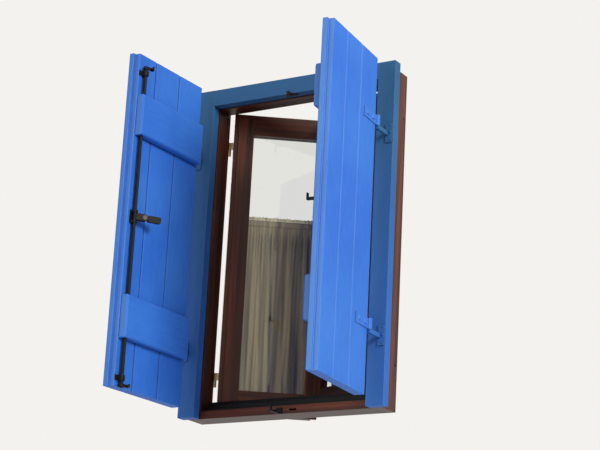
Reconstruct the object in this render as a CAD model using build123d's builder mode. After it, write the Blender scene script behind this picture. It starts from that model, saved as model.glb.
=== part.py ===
"""Casement window with an outer frame and a pair of ledged shutters.

Millimetres. X runs right along the wall seen from the street, Y into the room, Z up.
The origin is at the foot of the shutter frame, at its centre, on its street face.
Every moving leaf is drawn shut and then turned about its hinge to the stored, open position.
"""
import os
from math import asin, cos, degrees, pi, radians, sin, tan

from build123d import *

os.makedirs("parts", exist_ok=True)

# Shutter frame, the painted frame that the shutters shut against
frame_width = 830
frame_height = 1240
frame_depth = 38
frame_jamb_face = 68
frame_head_face = 62
opening_half = frame_width / 2 - frame_jamb_face
head_underside = frame_height - frame_head_face
frame_lap = frame_depth / 2

# Shutter leaves, shut, measured in the shared frame
leaf_thickness = 38
leaf_bottom = 20
leaf_height = frame_height - 2 * leaf_bottom
leaf_top = leaf_bottom + leaf_height
ledge_thickness = 28
ledge_height = 150
ledge_top_margin = 155
ledge_bottom_margin = 168
shut_clearance = 1
leaf_back = -(ledge_thickness + shut_clearance)
leaf_front = leaf_back - leaf_thickness
leaf_middle = leaf_front + leaf_thickness / 2
pin_inset = 23
pin_x = frame_width / 2 - pin_inset
pin_to_leaf = 8
leaf_edge = pin_x - pin_to_leaf
pin_stand_off = 5
pin_y = leaf_front - pin_stand_off
left_open_angle = 92.19
right_open_angle = 95.58
lap_reach = 5
lap_stop = 7
left_joints = (0.646 * leaf_edge, 0.281 * leaf_edge)
right_joints = (0.651 * leaf_edge, 0.328 * leaf_edge)
board_vee = 3
board_gap = 3
edge_chamfer = 1.5
tongue_thickness = 8
tongue_length = 9
tongue_gap = 0.5
ledge_outer_margin = 10
ledge_outer_end = leaf_edge - ledge_outer_margin
ledge_inner_end = 12
ledge_chamfer = 5
ledge_levels = (leaf_bottom + ledge_bottom_margin, leaf_top - ledge_top_margin - ledge_height)

# Strap hinges and their pintles
strap_length = 112
strap_height = 36
strap_thickness = 4
eye_radius = 9
pin_radius = 6
running_gap = 0.06
pin_rise = 5
pin_chamfer = 1.5
bracket_height = 14
bracket_arm_width = 11
bracket_arm_inset = 5
bracket_pad_half = 7
bracket_arm_inner = pin_x - bracket_arm_inset
bracket_arm_outer = bracket_arm_inner + bracket_arm_width
bracket_plate_margin = 2
bracket_plate_reach = frame_width / 2 - bracket_plate_margin
bracket_plate_thickness = 4
bracket_plate_drop = 26
bracket_plate_rise = 44
screw_half = 4
screw_head_half = 8
screw_head_rise = 5
screw_head_taper = 25
screw_gap = 0.1
screw_depth = 58
near_screw = 40
far_screw = 88
screw_spots = (pin_x - far_screw, pin_x - near_screw)
strap_levels = tuple(level_z + ledge_height / 2 for level_z in ledge_levels)

# Bolt rod with its hooks, guides and lever, on the left leaf
rod_x = -31
rod_radius = 6
rod_off_face = 13
rod_y = leaf_back + rod_off_face
keeper_plate = 3
rod_end_gap = 1
rod_bottom = leaf_bottom - 3 * rod_end_gap
rod_top = head_underside - keeper_plate - rod_end_gap
rod_slot_gap = 1.5
hook_height = 10
hook_levels = (leaf_bottom, rod_top - hook_height)
hook_ring = 9
hook_arm_width = 7
keeper_pin_radius = 3.5
keeper_pin_reach = 18
hook_gap = 1
finger_inner = keeper_pin_reach + keeper_pin_radius + hook_gap
finger_outer = finger_inner + hook_arm_width
hook_arm_angle = 165
finger_span = 52
hook_steps = 5
pin_seat_angle = 39
lock_turn = 135
guide_plate_thickness = 3
guide_width = 46
guide_height = 18
guide_ring = 9.5
guide_corner = 5
lower_guide_rise = 22
upper_guide_drop = 39
guide_levels = (leaf_bottom + lower_guide_rise, head_underside - upper_guide_drop)
lever_level = leaf_bottom + leaf_height / 2
lever_angle = 150
lever_pivot_reach = 35
lever_pin_radius = 3
fork_half = 8.5
fork_slot = 4.3
fork_radius = 12
fork_floor = 16
fork_root = 3
lever_half = 4
lever_eye = 9
lever_neck_height = 15
grip_start = 49
grip_end = 97
grip_half = 6
grip_height = 23
grip_round = 5
lever_pin_head = 8
lever_pin_head_rise = 2
middle_plate_width = 24
middle_loop_height = 8
middle_loop_gap = 3
middle_half = fork_radius + middle_loop_gap + middle_loop_height
middle_loops = (lever_level - middle_half, lever_level + middle_half - middle_loop_height)

# Keepers on the frames and the lever's catch on the right leaf
keeper_arm_half = 6
keeper_arm_height = 4
keeper_pin_length = 24
keeper_depth = 20
keeper_inset = 2
upper_keeper_half = 22
lower_keeper_half = 12
lower_keeper_rise = 22
lower_pin_top = 32
catch_left = 36
catch_right = 48
catch_gap = 0.5
catch_top = lever_level - grip_height / 2 - catch_gap
catch_thickness = 8
catch_lip = 4
catch_lip_gap = 2
catch_lip_rise = 16
catch_plate_margin = 8
catch_plate_height = 44

# Window frame behind the shutter frame
window_outer_inset = 20
window_clear_inset = 4
window_rebate = 12
window_top_drop = 14
window_outer_half = frame_width / 2 - window_outer_inset
window_clear_half = opening_half - window_clear_inset
window_rebate_half = window_clear_half + window_rebate
window_front = frame_depth
window_stop = 100
window_back = 130
window_top = frame_height - window_top_drop
window_head_clear = head_underside - window_clear_inset
window_head_rebate = window_head_clear + window_rebate
sill_height = 34
sill_fall = 4
sill_fall_depth = 36
drain_spot = 40
drain_length = 28
drain_height = 6
drain_level = 14
drain_depth = 30
wall_screw_low = 160
wall_screw_drop = 166
wall_screw_levels = (wall_screw_low, window_top - wall_screw_drop)
wall_screw_radius = 4
wall_screw_y = 115
drip_front = 80
drip_end_gap = 2
drip_half = window_clear_half - drip_end_gap
drip_top = 70
drip_shoulder = 56
drip_flat = 90
drip_wall = 3
seal_width = 8
seal_thickness = 2

# Sashes, shut, measured in the shared frame
sash_pivot_out = 10
sash_pivot_back = 20
sash_pivot_x = window_rebate_half + sash_pivot_out
sash_pivot_y = window_back + sash_pivot_back
left_sash_angle = 35.5
right_sash_angle = 21
sash_gap = 2
sash_thickness = 38
field_rise = 8
field_margin = 16
stile_face = 75
top_rail_face = 82
bottom_rail_face = 86
rim_half = window_rebate_half - sash_gap
rim_front = window_stop + seal_thickness
sash_front = rim_front - field_rise
sash_back = rim_front + sash_thickness
field_half = rim_half - field_margin
rim_bottom = sill_height + 2 * sash_gap
rim_top = window_head_rebate - sash_gap
field_bottom = drip_top + 3 * sash_gap
field_top = rim_top - field_margin
sight_outer = rim_half - stile_face
sight_inner = 40
sight_bottom = rim_bottom + bottom_rail_face
sight_top = rim_top - top_rail_face
rebate_depth = 12
glass_seat = rim_front + 10
glass_thickness = 5
glass_gap = 2
bead_depth = 17
bead_round = 4
meeting_step = sash_front + 24
meeting_reach = 9
meeting_stop = 11
knuckle_radius = 7
knuckle_length = 26
knuckle_pin = 4
lower_knuckle_rise = 102
upper_knuckle_drop = 154
knuckle_levels = (rim_bottom + lower_knuckle_rise, rim_top - upper_knuckle_drop)
knuckle_pin_length = 21
knuckle_cap = 3
knuckle_web_lap = 3
knuckle_neck_lap = 5
leaf_plate = 3
leaf_plate_reach = 28
leaf_plate_extra = 12

# Handle on the right sash
handle_x = 9
handle_below_middle = 11
handle_level = (rim_bottom + rim_top) / 2 - handle_below_middle
rose_half = 13
rose_height = 66
rose_thickness = 8
rose_round = 12
neck_radius = 8
neck_length = 34
handle_grip_depth = 16
handle_grip_height = 18
handle_length = 118
handle_round = 3

# Curtain rods and café curtains
curtain_rod_radius = 4
curtain_rod_share = 0.666
curtain_rod_level = sight_bottom + curtain_rod_share * (sight_top - sight_bottom)
curtain_rod_off = 12
curtain_rod_y = sash_back + curtain_rod_off
rod_inner_end = 18
rod_outer_end = rim_half - 47
bracket_outer_spot = rim_half - 51
bracket_spots = {
    "left": (-rod_inner_end - 2, -bracket_outer_spot),
    "right": (rod_inner_end, bracket_outer_spot),
}
curtain_bracket_half = 5
curtain_bracket_height = 20
curtain_bracket_fit = 0.05
curtain_bracket_lip = 2
curtain_start = 30
curtain_end = rim_half - 61
curtain_heading_rise = 25
curtain_pocket_drop = 19
curtain_hem_drop = 12
curtain_top = curtain_rod_level + curtain_heading_rise
curtain_pocket_bottom = curtain_rod_level - curtain_pocket_drop
curtain_bottom = sight_bottom - curtain_hem_drop
curtain_heading_half = 6.5
curtain_pocket_half = 4.5
curtain_pocket_rise = 9
curtain_thickness = 2.4
curtain_wave = 6
curtain_heading_wave = 1.6
curtain_steps = 60
curtain_folds = ((0.55, 38, 1), (0.3, 23, 2.1), (0.15, 120, 1))
curtain_phases = {"left": 0.4, "right": 1.7}

# Each turning leaf: side sign, hinge axis in plan, and how far it stands open
shutters = {
    "left": (-1, (-pin_x, pin_y, -left_open_angle)),
    "right": (1, (pin_x, pin_y, right_open_angle)),
}
sashes = {
    "left": (-1, (-sash_pivot_x, sash_pivot_y, left_sash_angle)),
    "right": (1, (sash_pivot_x, sash_pivot_y, -right_sash_angle)),
}
fixed = (0, 0, 0)


def directions(hinge):
    """Unit vectors along a leaf and into the room, after its turn."""
    turn = radians(hinge[2])
    return Vector(cos(turn), sin(turn), 0), Vector(-sin(turn), cos(turn), 0)


def moved_origin(hinge):
    """Where the shared origin goes when it is turned about a hinge axis."""
    along, inward = directions(hinge)
    pivot = Vector(hinge[0], hinge[1], 0)
    return pivot - along * hinge[0] - inward * hinge[1]


def level(hinge, height):
    """Horizontal plane whose x and y are the shut leaf's plan coordinates."""
    along, _ = directions(hinge)
    origin = moved_origin(hinge) + Vector(0, 0, height)
    return Plane(origin=origin, x_dir=along, z_dir=(0, 0, 1))


def facing(hinge, depth):
    """Upright plane parallel to the shut leaf at one depth, looking at the street."""
    along, inward = directions(hinge)
    return Plane(origin=moved_origin(hinge) + inward * depth, x_dir=along, z_dir=inward * -1)


def across(hinge, station):
    """Upright plane square to the shut leaf, x into the room and y up."""
    along, inward = directions(hinge)
    return Plane(origin=moved_origin(hinge) + along * station, x_dir=inward, z_dir=along)


def radial(hinge, centre, angle):
    """Upright plane through a vertical axis, x away from the axis at an angle in plan."""
    along, inward = directions(hinge)
    turn = radians(angle)
    outward = along * cos(turn) + inward * sin(turn)
    origin = moved_origin(hinge) + along * centre[0] + inward * centre[1]
    return Plane(origin=origin, x_dir=outward, z_dir=outward.cross(Vector(0, 0, 1)))


def ordered(points):
    """The same outline, run anticlockwise."""
    twice_area = 0
    for (x0, y0), (x1, y1) in zip(points, points[1:] + points[:1]):
        twice_area += x0 * y1 - x1 * y0
    return points if twice_area > 0 else points[::-1]


def box_outline(x0, y0, x1, y1):
    """The four corners of a rectangle."""
    return [(x0, y0), (x1, y0), (x1, y1), (x0, y1)]


def mirrored(points, side):
    """A left-hand outline as it is, or turned into a right-hand one."""
    return [(-side * x, y) for x, y in points]


def polar(centre, radius, angle):
    """The point at a distance and at an angle in degrees from a centre."""
    return centre[0] + radius * cos(radians(angle)), centre[1] + radius * sin(radians(angle))


def arc_points(centre, radius, start, end, count):
    """Points along an arc, from a start angle to an end angle in degrees."""
    steps = [start + (end - start) * index / count for index in range(count + 1)]
    return [polar(centre, radius, angle) for angle in steps]


def upright(hinge, points, low, high, mode=Mode.ADD):
    """A prism with a plan outline, from one height to another."""
    with BuildSketch(level(hinge, low)) as outline:
        Polygon(*ordered(points), align=None)
    extrude(outline.sketch, amount=high - low, mode=mode)


def column(hinge, centre, radius, low, high, mode=Mode.ADD):
    """A vertical cylinder between two heights."""
    with BuildSketch(level(hinge, low)) as outline:
        with Locations(centre):
            Circle(radius)
    extrude(outline.sketch, amount=high - low, mode=mode)


def lengthways(hinge, points, start, end, mode=Mode.ADD):
    """A prism with an outline in depth and height, run along the leaf."""
    low, high = sorted((start, end))
    with BuildSketch(across(hinge, low)) as outline:
        Polygon(*ordered(points), align=None)
    extrude(outline.sketch, amount=high - low, mode=mode)


def peg(hinge, centre, radius, front, back, mode=Mode.ADD):
    """A cylinder square to the leaf, between two depths."""
    with BuildSketch(facing(hinge, back)) as outline:
        with Locations(centre):
            Circle(radius)
    extrude(outline.sketch, amount=back - front, mode=mode)


def square_bar(hinge, centre, half, front, back, mode=Mode.ADD):
    """A square bar through the leaf, between two depths."""
    with BuildSketch(facing(hinge, back)) as outline:
        with Locations(centre):
            Rectangle(2 * half, 2 * half)
    extrude(outline.sketch, amount=back - front, mode=mode)


def finish_piece(piece, name):
    """Label a piece and write it under its own name."""
    piece.part.label = name
    export_step(piece.part, f"parts/{name}.step")


# Shutter frame: the head and the jambs are halved together at the corners
with BuildPart() as shutter_frame_head:
    back_plan = box_outline(-frame_width / 2, frame_lap, frame_width / 2, frame_depth)
    upright(fixed, back_plan, head_underside, frame_height)
    front_plan = box_outline(-opening_half, 0, opening_half, frame_lap)
    upright(fixed, front_plan, head_underside, frame_height)
finish_piece(shutter_frame_head, "shutter_frame_head")

for side_name, (side, hinge) in shutters.items():
    with BuildPart() as shutter_frame_jamb:
        outer, inner = side * frame_width / 2, side * opening_half
        upright(fixed, box_outline(outer, 0, inner, frame_depth), 0, head_underside)
        upright(fixed, box_outline(outer, 0, inner, frame_lap), head_underside, frame_height)
    finish_piece(shutter_frame_jamb, f"shutter_frame_jamb_{side_name}")

# Window frame: rebated head, jambs and bottom rail
with BuildPart() as window_frame_head:
    stop_part = box_outline(window_front, window_head_clear, window_stop, window_top)
    rebate_part = box_outline(window_stop, window_head_rebate, window_back, window_top)
    lengthways(fixed, stop_part, -window_clear_half, window_clear_half)
    lengthways(fixed, rebate_part, -window_rebate_half, window_rebate_half)
finish_piece(window_frame_head, "window_frame_head")

for side_name, (side, hinge) in sashes.items():
    with BuildPart() as window_frame_jamb:
        jamb_outline = [
            (-window_outer_half, window_front),
            (-window_clear_half, window_front),
            (-window_clear_half, window_stop),
            (-window_rebate_half, window_stop),
            (-window_rebate_half, window_back),
            (-window_outer_half, window_back),
        ]
        upright(fixed, mirrored(jamb_outline, side), 0, window_top)
        for screw_level in wall_screw_levels:
            low_x = min(side * window_outer_half, side * window_rebate_half)
            with BuildSketch(across(fixed, low_x)) as screw_hole:
                with Locations((wall_screw_y, screw_level)):
                    Circle(wall_screw_radius)
            extrude(screw_hole.sketch, amount=window_outer_half - window_rebate_half, mode=Mode.SUBTRACT)
    finish_piece(window_frame_jamb, f"window_frame_jamb_{side_name}")

with BuildPart() as window_frame_bottom_rail:
    sill_outline = [
        (window_front, 0),
        (window_stop, 0),
        (window_stop, sill_height),
        (window_front + sill_fall_depth, sill_height),
        (window_front, sill_height - sill_fall),
    ]
    lengthways(fixed, sill_outline, -window_clear_half, window_clear_half)
    back_part = box_outline(window_stop, 0, window_back, sill_height)
    lengthways(fixed, back_part, -window_rebate_half, window_rebate_half)
    with BuildSketch(facing(fixed, window_front)) as drain_outline:
        with Locations((-drain_spot, drain_level), (drain_spot, drain_level)):
            Rectangle(drain_length, drain_height)
    extrude(drain_outline.sketch, amount=-drain_depth, mode=Mode.SUBTRACT)
finish_piece(window_frame_bottom_rail, "window_frame_bottom_rail")

# Folded drip bar that the bottom rails of the sashes shut against
with BuildPart() as drip_bar:
    drip_outline = [
        (drip_front, sill_height),
        (window_stop, sill_height),
        (window_stop, drip_top),
        (drip_flat, drip_top),
        (drip_front, drip_shoulder),
    ]
    drip_hollow = [
        (drip_front + drip_wall, sill_height),
        (window_stop - drip_wall, sill_height),
        (window_stop - drip_wall, drip_top - drip_wall),
        (drip_flat + drip_wall / 2, drip_top - drip_wall),
        (drip_front + drip_wall, drip_shoulder - drip_wall / 2),
    ]
    lengthways(fixed, drip_outline, -drip_half, drip_half)
    lengthways(fixed, drip_hollow, -drip_half + drip_wall, drip_half - drip_wall, mode=Mode.SUBTRACT)
finish_piece(drip_bar, "drip_bar")

# Rubber seal around the stop of the window frame
with BuildPart() as window_seal:
    seal_outer = rim_half
    seal_inner = rim_half - seal_width
    seal_head = rim_top - seal_width
    for side in (-1, 1):
        strip = box_outline(side * seal_inner, window_stop, side * seal_outer, rim_front)
        upright(fixed, strip, drip_top - seal_width, rim_top)
    cross_strip = box_outline(-seal_outer, window_stop, seal_outer, rim_front)
    upright(fixed, cross_strip, seal_head, rim_top)
    foot_strip = box_outline(-seal_outer, window_stop, seal_outer, rim_front)
    upright(fixed, foot_strip, drip_top - seal_width, drip_top)
finish_piece(window_seal, "window_seal")


def board_outline(grooved, tongued):
    """Plan of a board between two joints: groove on one edge, tongue on the other.

    The shoulder at the groove stands off the next board, so a joint shows as a dark line.
    """
    low_tongue = leaf_middle - tongue_thickness / 2
    high_tongue = leaf_middle + tongue_thickness / 2
    step = 1 if tongued > grooved else -1
    shoulder = grooved + step * board_gap
    return [
        (shoulder + step * board_vee, leaf_front),
        (tongued - step * board_vee, leaf_front),
        (tongued, leaf_front + board_vee),
        (tongued, low_tongue),
        (tongued + step * tongue_length, low_tongue),
        (tongued + step * tongue_length, high_tongue),
        (tongued, high_tongue),
        (tongued, leaf_back - board_vee),
        (tongued - step * board_vee, leaf_back),
        (shoulder + step * board_vee, leaf_back),
        (shoulder, leaf_back - board_vee),
        (shoulder, high_tongue),
        (grooved + step * (tongue_length + tongue_gap), high_tongue),
        (grooved + step * (tongue_length + tongue_gap), low_tongue),
        (shoulder, low_tongue),
        (shoulder, leaf_front + board_vee),
    ]


def hinge_board_outline(edge, tongued):
    """Plan of the board at the hinge: a plain eased edge and a tongue."""
    step = 1 if tongued > edge else -1
    inner = board_outline(edge, tongued)[:10]
    inner[0] = (edge + step * edge_chamfer, leaf_front)
    inner[9] = (edge + step * edge_chamfer, leaf_back)
    return inner + [(edge, leaf_back - edge_chamfer), (edge, leaf_front + edge_chamfer)]


def meeting_board_outline(grooved, front_end, back_end):
    """Plan of the board at the meeting edge: a groove and a rebated lap."""
    step = 1 if front_end > grooved else -1
    groove = board_outline(grooved, grooved + step)[9:]
    lap = [
        (grooved + step * (board_gap + board_vee), leaf_front),
        (front_end - step * edge_chamfer, leaf_front),
        (front_end, leaf_front + edge_chamfer),
        (front_end, leaf_middle),
        (back_end, leaf_middle),
        (back_end, leaf_back - edge_chamfer),
        (back_end - step * edge_chamfer, leaf_back),
    ]
    return lap + groove


board_outlines = {
    "left": {
        "hinge": hinge_board_outline(-leaf_edge, -left_joints[0]),
        "middle": board_outline(-left_joints[0], -left_joints[1]),
        "meeting": meeting_board_outline(-left_joints[1], lap_reach, -lap_stop),
    },
    "right": {
        "hinge": hinge_board_outline(leaf_edge, right_joints[0]),
        "middle": board_outline(right_joints[0], right_joints[1]),
        "meeting": meeting_board_outline(right_joints[1], lap_stop, -lap_reach),
    },
}

# Shutter leaves: tongued boards, ledges across their backs, strap hinges and screws
for side_name, (side, hinge) in shutters.items():
    along, inward = directions(hinge)
    for board_name, outline_points in board_outlines[side_name].items():
        with BuildPart() as board:
            upright(hinge, outline_points, leaf_bottom, leaf_top)
            if board_name == "hinge":
                for strap_z in strap_levels:
                    for spot in screw_spots:
                        spot_centre = (side * spot, strap_z)
                        hole = screw_half + screw_gap
                        square_bar(hinge, spot_centre, hole, leaf_front, leaf_back, mode=Mode.SUBTRACT)
        finish_piece(board, f"{side_name}_shutter_board_{board_name}")

    for ledge_name, ledge_z in zip(("lower", "upper"), ledge_levels):
        with BuildPart() as ledge:
            ledge_plan = box_outline(
                side * ledge_outer_end, leaf_back, side * ledge_inner_end, leaf_back + ledge_thickness
            )
            upright(hinge, ledge_plan, ledge_z, ledge_z + ledge_height)
            room_face = ledge.faces().sort_by(Axis((0, 0, 0), tuple(inward)))[-1]
            chamfer(room_face.edges(), length=ledge_chamfer)
            for spot in screw_spots:
                spot_centre = (side * spot, ledge_z + ledge_height / 2)
                hole = screw_half + screw_gap
                hole_end = leaf_front + screw_depth + screw_gap
                square_bar(hinge, spot_centre, hole, leaf_back, hole_end, mode=Mode.SUBTRACT)
            if side_name == "left":
                slot_half = rod_radius + rod_slot_gap
                slot = box_outline(rod_x - slot_half, leaf_back, rod_x + slot_half, rod_y + slot_half)
                upright(hinge, slot, ledge_z, ledge_z + ledge_height, mode=Mode.SUBTRACT)
        finish_piece(ledge, f"{side_name}_shutter_ledge_{ledge_name}")

    with BuildPart() as straps:
        for strap_z in strap_levels:
            low, high = strap_z - strap_height / 2, strap_z + strap_height / 2
            column(hinge, (side * pin_x, pin_y), eye_radius, low, high)
            strap_plan = box_outline(
                side * pin_x, leaf_front - strap_thickness, side * (pin_x - strap_length), leaf_front
            )
            upright(hinge, strap_plan, low, high)
            column(hinge, (side * pin_x, pin_y), pin_radius + running_gap, low, high, mode=Mode.SUBTRACT)
            for spot in screw_spots:
                spot_centre = (side * spot, strap_z)
                hole = screw_half + screw_gap
                strap_front = leaf_front - strap_thickness
                square_bar(hinge, spot_centre, hole, strap_front, leaf_front, mode=Mode.SUBTRACT)
    finish_piece(straps, f"{side_name}_shutter_straps")

    with BuildPart() as strap_screws:
        strap_front = leaf_front - strap_thickness
        for strap_z in strap_levels:
            for spot in screw_spots:
                spot_centre = (side * spot, strap_z)
                square_bar(hinge, spot_centre, screw_half, strap_front, leaf_front + screw_depth)
                with BuildSketch(facing(hinge, strap_front)) as head_outline:
                    with Locations(spot_centre):
                        Rectangle(2 * screw_head_half, 2 * screw_head_half)
                extrude(head_outline.sketch, amount=screw_head_rise, taper=screw_head_taper)
    finish_piece(strap_screws, f"{side_name}_shutter_strap_screws")

    with BuildPart() as pintles:
        for strap_z in strap_levels:
            eye_bottom = strap_z - strap_height / 2
            arm_bottom = eye_bottom - bracket_height
            arm_plan = box_outline(side * bracket_arm_inner, pin_y, side * bracket_arm_outer, 0)
            upright(fixed, arm_plan, arm_bottom, eye_bottom)
            plate_plan = box_outline(
                side * bracket_arm_inner, -bracket_plate_thickness, side * bracket_plate_reach, 0
            )
            upright(fixed, plate_plan, arm_bottom - bracket_plate_drop, arm_bottom + bracket_plate_rise)
            pad_plan = box_outline(
                side * (pin_x - bracket_pad_half), pin_y - bracket_pad_half,
                side * (pin_x + bracket_pad_half), pin_y + bracket_pad_half,
            )
            upright(fixed, pad_plan, arm_bottom, eye_bottom)
            pin_top = strap_z + strap_height / 2 + pin_rise
            column(fixed, (side * pin_x, pin_y), pin_radius, eye_bottom, pin_top)
            pin_end = pintles.edges().filter_by(GeomType.CIRCLE).sort_by(Axis.Z)[-1]
            chamfer(pin_end, length=pin_chamfer)
    finish_piece(pintles, f"shutter_pintles_{side_name}")

# Bolt rod on the left leaf, with the fork that carries the lever
left_hinge = shutters["left"][1]
rod_centre = (rod_x, rod_y)
with BuildPart() as bolt_rod:
    column(left_hinge, rod_centre, rod_radius, rod_bottom, rod_top)
    lever_plane = radial(left_hinge, rod_centre, lever_angle)
    with BuildSketch(lever_plane) as fork_outline:
        fork_low, fork_high = lever_level - fork_radius, lever_level + fork_radius
        Polygon(*ordered(box_outline(fork_root, fork_low, lever_pivot_reach, fork_high)), align=None)
        with Locations((lever_pivot_reach, lever_level)):
            Circle(fork_radius)
    extrude(fork_outline.sketch, amount=fork_half, both=True)
    with BuildSketch(lever_plane) as fork_gap:
        slot_end = lever_pivot_reach + 2 * fork_radius
        slot_points = box_outline(fork_floor, fork_low - fork_slot, slot_end, fork_high + fork_slot)
        Polygon(*ordered(slot_points), align=None)
    extrude(fork_gap.sketch, amount=fork_slot, both=True, mode=Mode.SUBTRACT)
    with BuildSketch(lever_plane) as fork_bore:
        with Locations((lever_pivot_reach, lever_level)):
            Circle(lever_pin_radius + running_gap)
    extrude(fork_bore.sketch, amount=2 * fork_half, both=True, mode=Mode.SUBTRACT)
finish_piece(bolt_rod, "bolt_rod")

for hook_name, hook_low in zip(("lower", "upper"), hook_levels):
    with BuildPart() as hook:
        tip_angle = hook_arm_angle - finger_span
        near_side = hook_arm_angle - degrees(asin(hook_arm_width / finger_inner))
        finger = arc_points(rod_centre, finger_outer, tip_angle, hook_arm_angle, hook_steps)
        root_far = polar(rod_centre, rod_radius, hook_arm_angle)
        root_near = polar(rod_centre, hook_arm_width, hook_arm_angle - 90)
        crook = arc_points(rod_centre, finger_inner, near_side, tip_angle, hook_steps)
        hook_plan = finger + [root_far, root_near] + crook
        upright(left_hinge, hook_plan, hook_low, hook_low + hook_height)
        column(left_hinge, rod_centre, hook_ring, hook_low, hook_low + hook_height)
        column(left_hinge, rod_centre, rod_radius, hook_low, hook_low + hook_height, mode=Mode.SUBTRACT)
    finish_piece(hook, f"bolt_hook_{hook_name}")

with BuildPart() as bolt_lever:
    neck_low, neck_high = lever_level - lever_neck_height / 2, lever_level + lever_neck_height / 2
    with BuildSketch(lever_plane) as neck_outline:
        neck_end = grip_start + lever_half
        Polygon(*ordered(box_outline(lever_pivot_reach, neck_low, neck_end, neck_high)), align=None)
        with Locations((lever_pivot_reach, lever_level)):
            Circle(lever_eye)
    extrude(neck_outline.sketch, amount=lever_half, both=True)
    with BuildSketch(lever_plane) as grip_outline:
        with Locations(((grip_start + grip_end) / 2, lever_level)):
            RectangleRounded(grip_end - grip_start, grip_height, grip_round)
    extrude(grip_outline.sketch, amount=grip_half, both=True)
    with BuildSketch(lever_plane) as lever_bore:
        with Locations((lever_pivot_reach, lever_level)):
            Circle(lever_pin_radius + running_gap)
    extrude(lever_bore.sketch, amount=2 * lever_half, both=True, mode=Mode.SUBTRACT)
finish_piece(bolt_lever, "bolt_lever")

with BuildPart() as lever_pin:
    with BuildSketch(lever_plane) as pin_outline:
        with Locations((lever_pivot_reach, lever_level)):
            Circle(lever_pin_radius)
    extrude(pin_outline.sketch, amount=fork_half, both=True)
    with BuildSketch(lever_plane.offset(fork_half)) as boss_outline:
        with Locations((lever_pivot_reach, lever_level)):
            Circle(lever_pin_head)
    extrude(boss_outline.sketch, amount=lever_pin_head_rise)
finish_piece(lever_pin, "lever_pin")


def rod_loop(low, high):
    """A saddle over the bolt rod, standing on its plate, with its corners cut off."""
    near, far = rod_x - guide_ring, rod_x + guide_ring
    crown = rod_y + guide_ring
    saddle = [
        (near, leaf_back),
        (far, leaf_back),
        (far, crown - guide_corner),
        (far - guide_corner, crown),
        (near + guide_corner, crown),
        (near, crown - guide_corner),
    ]
    upright(left_hinge, saddle, low, high)


with BuildPart() as rod_guides:
    plate_back = leaf_back + guide_plate_thickness
    for guide_low in guide_levels:
        ears = box_outline(rod_x - guide_width / 2, leaf_back, rod_x + guide_width / 2, plate_back)
        upright(left_hinge, ears, guide_low, guide_low + guide_height)
        rod_loop(guide_low, guide_low + guide_height)
    middle_ears = box_outline(
        rod_x - middle_plate_width / 2, leaf_back, rod_x + middle_plate_width / 2, plate_back
    )
    upright(left_hinge, middle_ears, lever_level - middle_half, lever_level + middle_half)
    for loop_low in middle_loops:
        rod_loop(loop_low, loop_low + middle_loop_height)
    column(left_hinge, rod_centre, rod_radius + running_gap, leaf_bottom, leaf_top, mode=Mode.SUBTRACT)
finish_piece(rod_guides, "rod_guides")

# Keepers that the hooks turn behind, and the catch that holds the lever
keeper_pin = polar(rod_centre, keeper_pin_reach, hook_arm_angle - pin_seat_angle - lock_turn)
keeper_front = keeper_pin[1] - keeper_arm_half
with BuildPart() as upper_keeper:
    plate_bottom = head_underside - keeper_plate
    plate_plan = box_outline(
        keeper_pin[0] - upper_keeper_half, keeper_inset, keeper_pin[0] + upper_keeper_half, keeper_depth
    )
    upright(fixed, plate_plan, plate_bottom, head_underside)
    arm_plan = box_outline(
        keeper_pin[0] - keeper_arm_half, keeper_front, keeper_pin[0] + keeper_arm_half, keeper_depth
    )
    upright(fixed, arm_plan, plate_bottom, head_underside)
    column(fixed, keeper_pin, keeper_pin_radius, plate_bottom - keeper_pin_length, plate_bottom)
finish_piece(upper_keeper, "upper_keeper")

with BuildPart() as lower_keeper:
    plate_plan = box_outline(
        keeper_pin[0] - lower_keeper_half, window_front - keeper_plate,
        keeper_pin[0] + lower_keeper_half, window_front,
    )
    upright(fixed, plate_plan, 0, lower_keeper_rise)
    arm_plan = box_outline(
        keeper_pin[0] - keeper_arm_half, keeper_front, keeper_pin[0] + keeper_arm_half, window_front
    )
    upright(fixed, arm_plan, 0, keeper_arm_height)
    column(fixed, keeper_pin, keeper_pin_radius, keeper_arm_height, lower_pin_top)
finish_piece(lower_keeper, "lower_keeper")

right_hinge = shutters["right"][1]
with BuildPart() as lever_catch:
    lock_angle = radians(lever_angle - lock_turn)
    lever_back = rod_y + (catch_right - rod_x) * tan(lock_angle) + grip_half / cos(lock_angle)
    lip_front = lever_back + catch_lip_gap
    lip_back = lip_front + catch_lip
    plate_plan = box_outline(
        catch_left - catch_plate_margin, leaf_back, catch_right + catch_plate_margin, leaf_back + keeper_plate
    )
    upright(right_hinge, plate_plan, catch_top - catch_plate_height, catch_top)
    shelf_plan = box_outline(catch_left, leaf_back, catch_right, lip_back)
    upright(right_hinge, shelf_plan, catch_top - catch_thickness, catch_top)
    lip_plan = box_outline(catch_left, lip_front, catch_right, lip_back)
    upright(right_hinge, lip_plan, catch_top, catch_top + catch_lip_rise)
finish_piece(lever_catch, "lever_catch")

# Sashes: rebated stiles and rails, glass, glazing beads and hinges
meeting_outlines = {
    "left": [
        (-sight_inner, sash_front),
        (meeting_reach, sash_front),
        (meeting_reach, meeting_step),
        (-meeting_stop, meeting_step),
        (-meeting_stop, sash_back),
        (-sight_inner + rebate_depth, sash_back),
        (-sight_inner + rebate_depth, glass_seat),
        (-sight_inner, glass_seat),
    ],
    "right": [
        (sight_inner, sash_front),
        (meeting_stop, sash_front),
        (meeting_stop, meeting_step),
        (-meeting_reach, meeting_step),
        (-meeting_reach, sash_back),
        (sight_inner - rebate_depth, sash_back),
        (sight_inner - rebate_depth, glass_seat),
        (sight_inner, glass_seat),
    ],
}
rebate_outer = sight_outer + rebate_depth
rebate_inner = sight_inner - rebate_depth
rebate_bottom = sight_bottom - rebate_depth
rebate_top = sight_top + rebate_depth


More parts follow.
